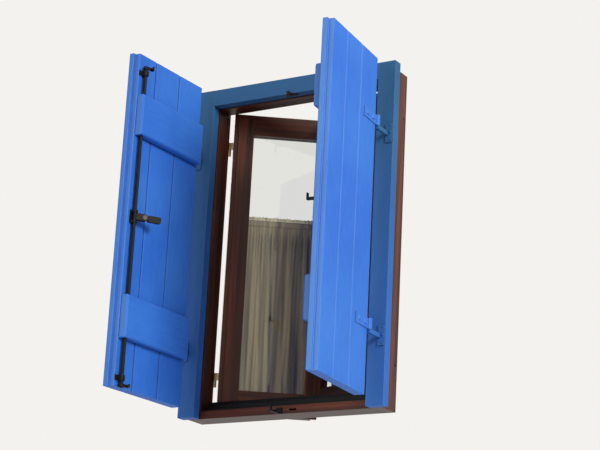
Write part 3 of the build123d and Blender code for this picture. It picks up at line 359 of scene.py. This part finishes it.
def makeNetCloth(name, turn):
    material, tree, coords, shader, out = newMaterial(name)
    placed = addNode(tree, "ShaderNodeMapping",
                     {"vector_type": "TEXTURE", "Rotation": (0, 0, math.radians(turn))},
                     {"Vector": coords}).outputs["Vector"]
    split = addNode(tree, "ShaderNodeSeparateXYZ", links={"Vector": placed})
    # weave: sine of the height times sine of the place across, one turn for each thread
    turnsPerMetre = 2 * math.pi / netCloth["pitch"]
    weft = addNode(tree, "ShaderNodeMath", {"operation": "MULTIPLY", 1: turnsPerMetre},
                   {0: split.outputs["Z"]})
    warp = addNode(tree, "ShaderNodeMath", {"operation": "MULTIPLY", 1: turnsPerMetre},
                   {0: split.outputs["X"]})
    weftWave = addNode(tree, "ShaderNodeMath", {"operation": "SINE"}, {0: weft.outputs[0]})
    warpWave = addNode(tree, "ShaderNodeMath", {"operation": "SINE"}, {0: warp.outputs[0]})
    weave = addNode(tree, "ShaderNodeMath", {"operation": "MULTIPLY"},
                    {0: weftWave.outputs[0], 1: warpWave.outputs[0]})
    drawn = addNode(tree, "ShaderNodeMapping", {"Scale": (1, 1, 0.04)}, {"Vector": placed})
    slub = addNode(tree, "ShaderNodeTexNoise", {"Scale": netCloth["slubs"], "Detail": 4.0},
                   {"Vector": drawn.outputs["Vector"]})
    tone = addNode(tree, "ShaderNodeMix", {
        "data_type": "RGBA", 6: linear(netCloth["shade"]), 7: linear(netCloth["thread"]),
    }, {0: slub.outputs["Fac"]})
    # painted shade: broad upright bands, where the cloth hangs deeper in its folds, are painted darker
    shadeBandNoise = addNode(tree, "ShaderNodeTexNoise", {"Scale": netCloth["shadeBandScale"], "Detail": 1.0},
                     {"Vector": drawn.outputs["Vector"]})
    shadeBandShare = addNode(tree, "ShaderNodeMapRange", {"From Min": 0.46, "From Max": 0.64, "To Max": 0.5},
                   {"Value": shadeBandNoise.outputs["Fac"]})
    bandShaded = addNode(tree, "ShaderNodeMix", {"data_type": "RGBA", 7: linear(netCloth["foldShade"])},
                      {0: shadeBandShare.outputs["Result"], 6: tone.outputs[2]})
    hem = addNode(tree, "ShaderNodeMapRange", {
        "From Min": netCloth["hemTop"], "From Max": netCloth["hemTop"] - 0.001, "To Max": 0.35},
        {"Value": split.outputs["Z"]})
    hemmed = addNode(tree, "ShaderNodeMix", {"data_type": "RGBA", 7: linear(netCloth["shade"])},
                     {0: hem.outputs["Result"], 6: bandShaded.outputs[2]})
    # painted light: the free ruffle over the rod is painted paler, as if lit through from behind; the two
    # seams of the rod's pocket are drawn dark, stitching with painted shade
    overRod = addNode(tree, "ShaderNodeMapRange", {
        "From Min": netCloth["ruffleFoot"], "From Max": netCloth["ruffleFoot"] + 0.001, "To Max": 0.9},
        {"Value": split.outputs["Z"]})
    paintedLitRuffle = addNode(tree, "ShaderNodeMix", {"data_type": "RGBA", 7: linear(netCloth["ruffle"])},
                      {0: overRod.outputs["Result"], 6: hemmed.outputs[2]})
    stitched = paintedLitRuffle
    for seam in netCloth["seams"]:
        away = addNode(tree, "ShaderNodeMath", {"operation": "SUBTRACT", 1: seam}, {0: split.outputs["Z"]})
        distance = addNode(tree, "ShaderNodeMath", {"operation": "ABSOLUTE"}, {0: away.outputs[0]})
        seamStitchAndShade = addNode(tree, "ShaderNodeMapRange", {
            "From Min": netCloth["seamHalf"], "From Max": netCloth["seamHalf"] / 2, "To Max": 0.65},
            {"Value": distance.outputs[0]})
        stitched = addNode(tree, "ShaderNodeMix", {"data_type": "RGBA", 7: linear(netCloth["foldShade"])},
                           {0: seamStitchAndShade.outputs["Result"], 6: stitched.outputs[2]})
    # painted shade: the cloth is painted darker down in its folds, where its layers lie behind each other
    occlusionShade = addNode(tree, "ShaderNodeAmbientOcclusion", {"samples": 6, "Distance": netCloth["foldReach"]})
    deep = addNode(tree, "ShaderNodeMapRange", {"From Min": 0.90, "From Max": 0.50, "To Max": 0.92},
                   {"Value": occlusionShade.outputs["AO"]})
    foldShaded = addNode(tree, "ShaderNodeMix", {"data_type": "RGBA", 7: linear(netCloth["foldShade"])},
                     {0: deep.outputs["Result"], 6: stitched.outputs[2]})
    tree.links.new(foldShaded.outputs[2], shader.inputs["Base Color"])
    shader.inputs["Roughness"].default_value = netCloth["roughness"]
    shader.inputs["Sheen Weight"].default_value = netCloth["sheen"]
    relief = addNode(tree, "ShaderNodeBump", {"Strength": netCloth["bump"], "Distance": 0.0004},
                     {"Height": weave.outputs[0]})
    tree.links.new(relief.outputs["Normal"], shader.inputs["Normal"])
    glow = addNode(tree, "ShaderNodeBsdfTranslucent", links={"Color": foldShaded.outputs[2]})
    cloth = addNode(tree, "ShaderNodeMixShader", {0: netCloth["lightThrough"]},
                    {1: shader.outputs["BSDF"], 2: glow.outputs["BSDF"]})
    tree.links.new(cloth.outputs["Shader"], out.inputs["Surface"])
    return material


def leafOf(name):
    # which turning leaf a CAD node belongs to
    if name.startswith("left_shutter") or name.startswith("bolt_") or name == "rod_guides":
        return "leftShutter"
    if name.startswith("right_shutter") or name == "lever_catch":
        return "rightShutter"
    if name.startswith("left_sash") or name.startswith("left_curtain"):
        return "leftSash"
    if name.startswith("right_sash") or name.startswith("right_curtain") or "handle" in name:
        return "rightSash"
    return "fixed"


madeMaterials = {}


def sharedMaterial(key, maker, *arguments):
    if key not in madeMaterials:
        madeMaterials[key] = maker(*arguments)
    return madeMaterials[key]


lyingPieces = ("ledge", "head", "rail", "bottom_rail")
ironPieces = ("bolt_rod", "bolt_hook_lower", "bolt_hook_upper", "bolt_lever", "rod_guides",
              "upper_keeper", "lower_keeper", "lever_catch")


def finishFor(name):
    leaf = leafOf(name)
    turn = leafTurns[leaf]["turn"]
    run = "along" if any(word in name for word in lyingPieces) else "up"
    key = run.capitalize() + leaf[0].upper() + leaf[1:]
    if name in ironPieces:
        return sharedMaterial("blackIron", makeSpeckledMetal, "brushPaintedIron", blackIron)
    if name == "lever_pin":
        return sharedMaterial("bright", makeSpeckledMetal, "rubbedSteel", rubbedSteel)
    if "shutter" in name:
        coat = "shutter" if leaf != "fixed" else "frame"
        return sharedMaterial("blue" + key, makeBluePaint, "brushedBluePaint" + key, run, turn, coat)
    if "glass" in name:
        return sharedMaterial("glass", makeGlass)
    if "seal" in name:
        return sharedMaterial("rubber", makeSpeckledMetal, "extrudedRubber", sealRubber)
    if name == "drip_bar":
        return sharedMaterial("bronze", makeSpeckledMetal, "bronzeAnodisedAluminium", bronzeAluminium)
    if "sash_hinge" in name:
        return sharedMaterial("steel", makeSpeckledMetal, "zincPlatedSteel", platedSteel)
    if "handle" in name or "curtain_rod" in name or "brackets" in name:
        return sharedMaterial("brass", makeSpeckledMetal, "lacqueredBrass", satinBrass)
    if name.endswith("curtain"):
        return sharedMaterial("cloth" + key, makeNetCloth, "cottonVoile" + key, turn)
    return sharedMaterial("timber" + key, makeStainedTimber, "stainedMeranti" + key, run, turn)


# Eased edges: merged corners, then a small round on every sharp one
easing = {"timber": 0.0012, "metal": 0.0005, "segments": 2, "angle": 32}


def easeEdges(obj, width):
    weld = obj.modifiers.new("mergeCorners", "WELD")
    weld.merge_threshold = 0.00001
    bevel = obj.modifiers.new("easedEdges", "BEVEL")
    bevel.width = width
    bevel.segments = easing["segments"]
    bevel.limit_method = "ANGLE"
    bevel.angle_limit = math.radians(easing["angle"])
    bevel.harden_normals = False
    bevel.use_clamp_overlap = True


for nodeName, nodeObject in nodes.items():
    nodeObject.data.materials.clear()
    nodeObject.data.materials.append(finishFor(nodeName))
    timberLike = any(word in nodeName for word in ("board", "ledge", "frame_", "stile", "rail"))
    if timberLike:
        easeEdges(nodeObject, easing["timber"])
print("materials on the frame's nodes:", len(madeMaterials))


def gridMesh(name, grids, leaf, material, closed=False):
    # grids as a count x rows x columns x 3 array, each joined in quads; closed also joins its last column
    # to its first
    count, rows, columns = grids.shape[:3]
    flat = turnedPoints(grids, leaf).reshape(-1, 3)
    index = np.arange(count * rows * columns).reshape(count, rows, columns)
    nextColumn = np.roll(index, -1, axis=2) if closed else index[:, :, 1:]
    thisColumn = index if closed else index[:, :, :-1]
    quads = np.stack([thisColumn[:, :-1], nextColumn[:, :-1], nextColumn[:, 1:], thisColumn[:, 1:]], axis=-1)
    mesh = bpy.data.meshes.new(name)
    mesh.from_pydata(flat.tolist(), [], quads.reshape(-1, 4).tolist())
    mesh.shade_smooth()
    obj = bpy.data.objects.new(name, mesh)
    bpy.context.scene.collection.objects.link(obj)
    obj.data.materials.append(material)
    return obj


# Slotted screws that hold the small ironware, the hinge wings, the pintles and the rose. Spots are x and z,
# or x and y under the head, with the leaves shut
wingSpots = [(0.331, 0.174), (0.343, 0.185), (0.331, 0.196), (0.331, 1.064), (0.343, 1.075), (0.331, 1.086)]
screwHeads = {
    "slotHalf": 0.13, "slotDepth": 0.7, "sunk": 0.0006, "rimShare": 0.25,
    "sets": {
        "guideScrews": {
            "leaf": "leftShutter", "facing": "room", "seat": -0.026, "radius": 0.0040, "rise": 0.0016,
            "spots": [(-0.0475, 0.051), (-0.0145, 0.051), (-0.0475, 1.148), (-0.0145, 1.148)],
            "finish": "rod_guides", "slot": "black_iron"},
        "catchScrews": {
            "leaf": "rightShutter", "facing": "room", "seat": -0.026, "radius": 0.0036, "rise": 0.0014,
            "spots": [(0.042, 0.572), (0.042, 0.589)],
            "finish": "lever_catch", "slot": "black_iron"},
        "upperKeeperScrews": {
            "leaf": "fixed", "facing": "down", "seat": 1.175, "radius": 0.0036, "rise": 0.0005,
            "spots": [(-0.0282, 0.011), (0.0018, 0.011)],
            "finish": "upper_keeper", "slot": "black_iron"},
        "lowerKeeperScrews": {
            "leaf": "fixed", "facing": "street", "seat": 0.035, "radius": 0.0030, "rise": 0.0012,
            "spots": [(-0.0208, 0.0145), (-0.0056, 0.0145)],
            "finish": "lower_keeper", "slot": "black_iron"},
        "leftWingScrews": {
            "leaf": "leftSash", "facing": "room", "seat": 0.143, "radius": 0.0034, "rise": 0.0011,
            "spots": [(-x, z) for x, z in wingSpots],
            "finish": "left_sash_hinges", "slot": "plated_steel"},
        "rightWingScrews": {
            "leaf": "rightSash", "facing": "room", "seat": 0.143, "radius": 0.0034, "rise": 0.0011,
            "spots": wingSpots,
            "finish": "right_sash_hinges", "slot": "plated_steel"},
        "frameWingScrews": {
            "leaf": "fixed", "facing": "room", "seat": 0.133, "radius": 0.0034, "rise": 0.0011,
            "spots": [(x, z) for x in (-0.382, 0.382) for z in (0.135, 0.157, 1.025, 1.047)],
            "finish": "sash_hinge_pins_left", "slot": "plated_steel"},
        "roseScrews": {
            "leaf": "rightSash", "facing": "room", "seat": 0.148, "radius": 0.0036, "rise": 0.0010,
            "spots": [(0.009, 0.576), (0.009, 0.624)],
            "finish": "handle_rose", "slot": "brass"},
        "pintleScrews": {
            "leaf": "fixed", "facing": "street", "seat": -0.004, "radius": 0.0042, "rise": 0.0018,
            "spots": [(x, z) for x in (-0.4052, 0.4052)
                      for z in (0.213, 0.2405, 0.268, 0.940, 0.9675, 0.995)],
            "finish": "shutter_pintles_left", "slot": "blue_paint_metal"},
    },
}
# across, along and out of the surface, for each way that a head faces
facingDirections = {
    "room": ((-1, 0, 0), (0, 0, 1), (0, 1, 0)),
    "street": ((1, 0, 0), (0, 0, 1), (0, -1, 0)),
    "down": ((0, 1, 0), (1, 0, 0), (0, 0, -1)),
}


def screwSurface(spec, number, spot):
    # chords of a disk, height = rim + dome * (1 - distance squared), flat at the slot's floor near the
    # middle chord; each chord runs over the top and back under the seat, so the head is closed
    half = screwHeads["slotHalf"]
    side = np.array([half, half * 1.15, 0.4, 0.64, 0.84, 0.96, 1])
    chords = np.concatenate([-side[::-1], side])
    over = np.sin(np.linspace(-np.pi / 2, np.pi / 2, 13))
    across = over[None, :] * np.sqrt(1 - chords[:, None] ** 2)
    along = np.broadcast_to(chords[:, None], across.shape)
    rim = screwHeads["rimShare"] * spec["rise"]
    height = rim + (spec["rise"] - rim) * (1 - across ** 2 - along ** 2)
    floor = spec["rise"] * (1 - screwHeads["slotDepth"])
    height = np.where(np.abs(along) <= half * 1.01, np.minimum(height, floor), height)
    across = np.concatenate([across, across[:, ::-1]], axis=1) * spec["radius"]
    along = np.concatenate([along, along[:, ::-1]], axis=1) * spec["radius"]
    height = np.concatenate([height, np.full_like(height, -screwHeads["sunk"])], axis=1)
    angle = 0.5 + 2.4 * number
    turnedAcross = across * np.cos(angle) - along * np.sin(angle)
    turnedAlong = across * np.sin(angle) + along * np.cos(angle)
    sideways, lengthways, outward = (np.array(d, dtype=float) for d in facingDirections[spec["facing"]])
    onPlan = spec["facing"] == "down"
    centre = np.array([spot[0], spot[1], spec["seat"]] if onPlan else [spot[0], spec["seat"], spot[1]])
    return (centre + turnedAcross[..., None] * sideways + turnedAlong[..., None] * lengthways
            + height[..., None] * outward)


for screwSet, spec in screwHeads["sets"].items():
    heads = np.stack([screwSurface(spec, number, spot) for number, spot in enumerate(spec["spots"])])
    screws = gridMesh(screwSet, heads, spec["leaf"], finishFor(spec["finish"]), closed=True)
    merge = screws.modifiers.new("mergeCorners", "WELD")
    merge.merge_threshold = 0.00001
    screws.modifiers.new("crispSlots", "EDGE_SPLIT").split_angle = math.radians(40)
    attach(screws, leafTurns[spec["leaf"]]["body"])
print("screw heads:", sum(len(spec["spots"]) for spec in screwHeads["sets"].values()))


# Café curtains: a sheet that goes up behind the rod, folds over at the ruffle and falls in front of it.
# Folds are place, half width, and depth as a share: under 0 towards the street, over 0 towards the room
curtains = {
    "rodY": 0.152, "rodZ": 0.7753, "top": 0.7985, "pocketBottom": 0.7565, "bottom": 0.113,
    "start": 0.031, "end": 0.291, "columns": 380, "rows": 120, "thickness": 0.0006,
    "headingDepth": 0.0052, "foldDepth": 0.0095, "ruffle": 0.0034, "atRod": 0.0007, "slant": 0.024,
    "gathers": 0.0118, "pleats": 0.0215, "ruffles": (0.0151, 0.0262), "topFold": 0.0016,
    "left": {
        "side": -1, "phase": 0.4,
        "folds": [(0.281, 0.007, 0.5), (0.262, 0.008, -0.35), (0.243, 0.010, -0.35), (0.228, 0.0045, 0.55),
                  (0.209, 0.0085, -1.0), (0.191, 0.0055, 1.0), (0.163, 0.0085, -0.55), (0.143, 0.006, 0.45),
                  (0.125, 0.009, -0.65), (0.092, 0.012, 1.0), (0.066, 0.006, -0.8), (0.050, 0.006, 0.8)],
    },
    "right": {
        "side": 1, "phase": 1.7,
        "folds": [(0.276, 0.009, 0.6), (0.252, 0.008, -0.7), (0.233, 0.006, 0.8), (0.211, 0.010, -0.5),
                  (0.186, 0.007, 0.6), (0.166, 0.0075, -1.0), (0.146, 0.008, 0.7), (0.119, 0.010, -0.5),
                  (0.095, 0.006, 0.9), (0.076, 0.008, -0.8), (0.053, 0.007, 0.6)],
    },
}


def gatherWave(position, drop, spec):
    # sum of bell curves at the folds, which lean towards the middle as the cloth falls, and of two fine
    # sines that fade downwards, where the gathers of the rod run out
    folds = np.array(spec["folds"])
    centre = folds[:, 0] - curtains["slant"] * drop[..., None]
    spread = folds[:, 1] * (0.85 + 0.45 * drop[..., None])
    bells = (folds[:, 2] * np.exp(-((position[..., None] - centre) / spread) ** 2)).sum(axis=-1)
    middle = np.sin(2 * np.pi * position / curtains["pleats"] + 2.1 * spec["phase"] - 1.2 * drop)
    narrow = np.sin(2 * np.pi * position / curtains["gathers"] + 3.3 * spec["phase"]
                    + 1.5 * np.sin(30 * position))
    return bells * (0.55 + 0.45 * np.sqrt(drop)) + 0.16 * middle + 0.30 * np.exp(-6 * drop) * narrow


def makeCurtain(side):
    # rows run up behind the rod, over the top fold as a half circle and down in front; depth = rod line,
    # plus or minus the pocket's depth, plus the gather wave that swells below the pocket, plus the ruffle's
    # sines above it; height = row, plus a slow hem wave at the foot and a fine crest at the top
    spec = curtains[side]
    rodZ = curtains["rodZ"]
    across = np.linspace(curtains["start"], curtains["end"], curtains["columns"])
    backRows = 14
    foldRows = 7
    frontRows = curtains["rows"] - backRows - foldRows
    topFold = curtains["topFold"]
    crown = curtains["top"] - topFold
    back = np.linspace(curtains["pocketBottom"], crown, backRows)
    # rows lie closer near the heading, then spread as the square of the way down
    way = np.linspace(0, 1, frontRows)
    front = crown + (curtains["bottom"] - crown) * (0.45 * way + 0.55 * way ** 2)
    turn = np.linspace(0, np.pi, foldRows + 2)[1:-1]
    height = np.concatenate([back, crown + topFold * np.sin(turn), front])
    # distance of each layer from the rod line, towards the room behind the rod and the street before it
    pinch = np.clip(np.abs(height - rodZ) / 0.017, 0, 1) ** 2
    depth = curtains["headingDepth"] * (1 - 0.70 * pinch)
    sideSign = np.concatenate([np.ones(backRows), np.cos(turn), -np.ones(frontRows)])
    centre = depth * sideSign
    below = np.clip((curtains["pocketBottom"] - height) / 0.05, 0, 1)
    centre[backRows + foldRows:] *= 1 - below[backRows + foldRows:]
    fall = curtains["pocketBottom"] - curtains["bottom"]
    drop = np.clip((curtains["pocketBottom"] - height) / fall, 0, 1)
    above = np.clip((height - rodZ - 0.006) / 0.014, 0, 1)
    gather = gatherWave(across[None, :], drop[:, None], spec)
    fineRuffle, wideRuffle = curtains["ruffles"]
    ruffle = (np.sin(2 * np.pi * across / fineRuffle + spec["phase"])
              + 0.6 * np.sin(2 * np.pi * across / wideRuffle)) / 1.6
    fine = np.sin(2 * np.pi * across / curtains["gathers"] + 3.3 * spec["phase"])
    swell = curtains["foldDepth"] * below * (0.8 + 0.2 * drop)
    y = (curtains["rodY"] + centre[:, None] + swell[:, None] * gather + curtains["atRod"] * fine[None, :]
         + (curtains["ruffle"] * above)[:, None] * ruffle[None, :])
    x = np.broadcast_to(spec["side"] * across[None, :], y.shape)
    sway = 0.0018 * np.sin(2 * np.pi * across[None, :] / 0.061 + 2 * spec["phase"]) * drop[:, None]
    hemWave = 0.0016 * np.sin(2 * np.pi * across / 0.083 + spec["phase"]) * drop[:, None] ** 4
    crest = 0.0013 * np.sin(2 * np.pi * across / 0.0131 + 1.3) + 0.0009 * np.sin(2 * np.pi * across / 0.041)
    z = np.broadcast_to(height[:, None], y.shape) + hemWave + above[:, None] * crest[None, :]
    points = np.stack([x + sway, y, z], axis=-1)
    name = side + "CafeCurtain"
    obj = gridMesh(name, points[None], side + "Sash", finishFor(side + "_curtain"))
    wall = obj.modifiers.new("clothThickness", "SOLIDIFY")
    wall.thickness = curtains["thickness"]
    wall.offset = 0
    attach(obj, leafTurns[side + "Sash"]["body"])
    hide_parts(side + "_curtain")


makeCurtain("left")
makeCurtain("right")

# Camera fitted to the photograph: focal length in pixels of a 600 wide frame, place in metres, degrees
camera = {
    "focal": 1844.8, "place": (3.3077, -5.3448, -1.2272), "yaw": 31.325, "pitch": 16.859, "roll": -2.979,
}
cameraData = bpy.data.cameras.new("photoCamera")
cameraObject = bpy.data.objects.new("photoCamera", cameraData)
bpy.context.scene.collection.objects.link(cameraObject)
yaw, pitch, roll = (math.radians(camera[k]) for k in ("yaw", "pitch", "roll"))
forward = Vector((-math.sin(yaw) * math.cos(pitch), math.cos(yaw) * math.cos(pitch), math.sin(pitch)))
right = Vector((math.cos(yaw), math.sin(yaw), 0))
up = right.cross(forward)
rolledRight = right * math.cos(roll) - up * math.sin(roll)
rolledUp = right * math.sin(roll) + up * math.cos(roll)
turnMatrix = Matrix((rolledRight, rolledUp, -forward)).transposed().to_4x4()
cameraObject.matrix_world = Matrix.Translation(camera["place"]) @ turnMatrix
cameraData.sensor_width = 36
cameraData.lens = camera["focal"] / 600 * 36
cameraData.clip_end = 100
bpy.context.scene.camera = cameraObject

# Pale floor and soft lamps: a large warm one from the right, and two weak ones in front and behind
studio = {
    "floorLevel": -1.36, "floorHalf": 60.0, "floorTone": "#ecebe6", "seenShare": 0.85, "floorGlow": 0.96,
    "sky": "#ffffff", "seenTone": "#f4f2ee", "worldStrength": 0.46,
    "lamps": {
        "keyLamp": {"place": (6.0, -2.6, 3.0), "size": 2.4, "power": 430, "tone": "#fff6ea"},
        "frontLamp": {"place": (-1.0, -6.5, 1.2), "size": 3.5, "power": 60, "tone": "#f2f6ff"},
        "roomLamp": {"place": (-4.8, 3.2, 3.4), "size": 3.0, "power": 80, "tone": "#ffffff"},
    },
}


def seenRays(tree):
    # 1 for what the camera sees straight, through a pane or mirrored, else 0
    ray = addNode(tree, "ShaderNodeLightPath")
    through = addNode(tree, "ShaderNodeMath", {"operation": "MAXIMUM"},
                      {0: ray.outputs["Is Camera Ray"], 1: ray.outputs["Is Transmission Ray"]})
    return addNode(tree, "ShaderNodeMath", {"operation": "MAXIMUM"},
                   {0: through.outputs[0], 1: ray.outputs["Is Glossy Ray"]}).outputs[0]


half, level = studio["floorHalf"], studio["floorLevel"]
floorMesh = bpy.data.meshes.new("paleFloor")
floorCorners = [(-half, -half, level), (half, -half, level), (half, half, level), (-half, half, level)]
floorMesh.from_pydata(floorCorners, [], [(0, 1, 2, 3)])
floorObject = bpy.data.objects.new("paleFloor", floorMesh)
bpy.context.scene.collection.objects.link(floorObject)
# matt floor paint; where it is seen, a share of it is the background's own tone, so that it stays pale far
# away and keeps the object's shadow
floorMaterial, floorTree, _, floorShader, floorOut = newMaterial("mattFloorPaint")
floorShader.inputs["Base Color"].default_value = linear(studio["floorTone"])
floorShader.inputs["Roughness"].default_value = 0.9
floorGlow = addNode(floorTree, "ShaderNodeEmission",
                    {"Color": linear(studio["seenTone"]), "Strength": studio["floorGlow"]})
floorShare = addNode(floorTree, "ShaderNodeMath", {"operation": "MULTIPLY", 1: studio["seenShare"]},
                     {0: seenRays(floorTree)})
floorMix = addNode(floorTree, "ShaderNodeMixShader", links={
    0: floorShare.outputs[0], 1: floorShader.outputs["BSDF"], 2: floorGlow.outputs["Emission"]})
floorTree.links.new(floorMix.outputs["Shader"], floorOut.inputs["Surface"])
floorMesh.materials.append(floorMaterial)

for lampName, lamp in studio["lamps"].items():
    lampData = bpy.data.lights.new(lampName, "AREA")
    lampData.shape = "DISK"
    lampData.size = lamp["size"]
    lampData.energy = lamp["power"]
    lampData.color = linear(lamp["tone"])[:3]
    lampObject = bpy.data.objects.new(lampName, lampData)
    # the lamps light through the panes, and aren't seen through them
    lampObject.visible_transmission = False
    bpy.context.scene.collection.objects.link(lampObject)
    aim = Vector((0, 0, 0.6)) - Vector(lamp["place"])
    lampTurn = aim.to_track_quat("-Z", "Y").to_matrix().to_4x4()
    lampObject.matrix_world = Matrix.Translation(lamp["place"]) @ lampTurn

world = bpy.data.worlds.new("paleStudio")
bpy.context.scene.world = world
world.use_nodes = True
worldTree = world.node_tree
worldTree.nodes.clear()
skyLight = addNode(worldTree, "ShaderNodeBackground",
                   {"Color": linear(studio["sky"]), "Strength": studio["worldStrength"]})
seenSky = addNode(worldTree, "ShaderNodeBackground", {"Color": linear(studio["seenTone"]), "Strength": 1.0})
skyMix = addNode(worldTree, "ShaderNodeMixShader", links={
    0: seenRays(worldTree), 1: skyLight.outputs["Background"], 2: seenSky.outputs["Background"]})
addNode(worldTree, "ShaderNodeOutputWorld", links={"Surface": skyMix.outputs["Shader"]})
bpy.context.scene.view_settings.view_transform = "Standard"
print("studio ready")
